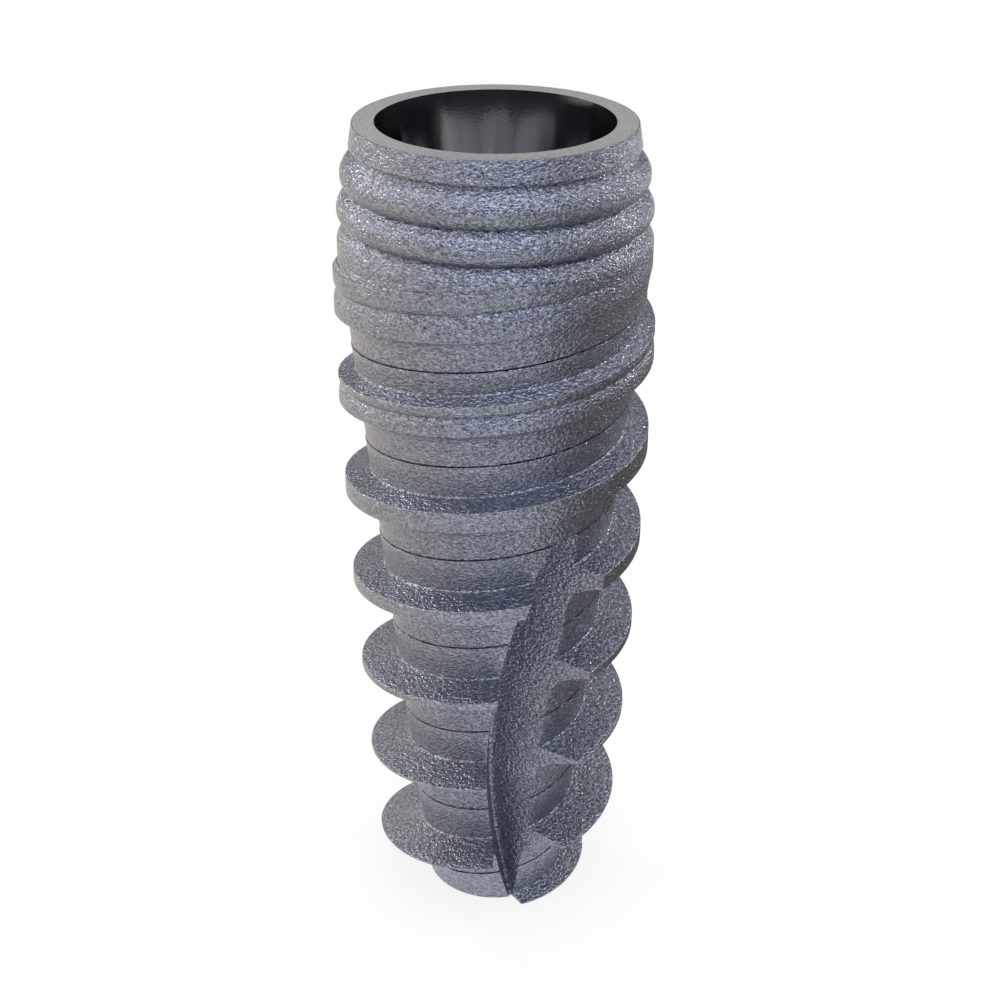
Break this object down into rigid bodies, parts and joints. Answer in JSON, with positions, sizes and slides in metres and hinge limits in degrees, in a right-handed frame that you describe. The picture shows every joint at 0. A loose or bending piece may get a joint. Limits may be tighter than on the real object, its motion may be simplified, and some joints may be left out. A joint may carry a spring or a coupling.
{
  "type": "dental implant",
  "caption": "Tapered screw-shaped titanium root fixture with a ringed collar, deep buttress thread, two cutting flutes, a flat apex and a conical bore.",
  "frame": {"origin": "centre of the flat apex, on the screw axis", "axes": "+Z along the screw axis from the apex to the platform, -Y toward the front, where the first cutting flute is"},
  "size_m": [0.0042, 0.0042, 0.0115],
  "materials": {
    "blasted_titanium": "grit-blasted and etched, matt blue-grey"
  },
  "bodies": {
    "root": {"implant_body": "blasted_titanium"}
  },
  "joints": []
}
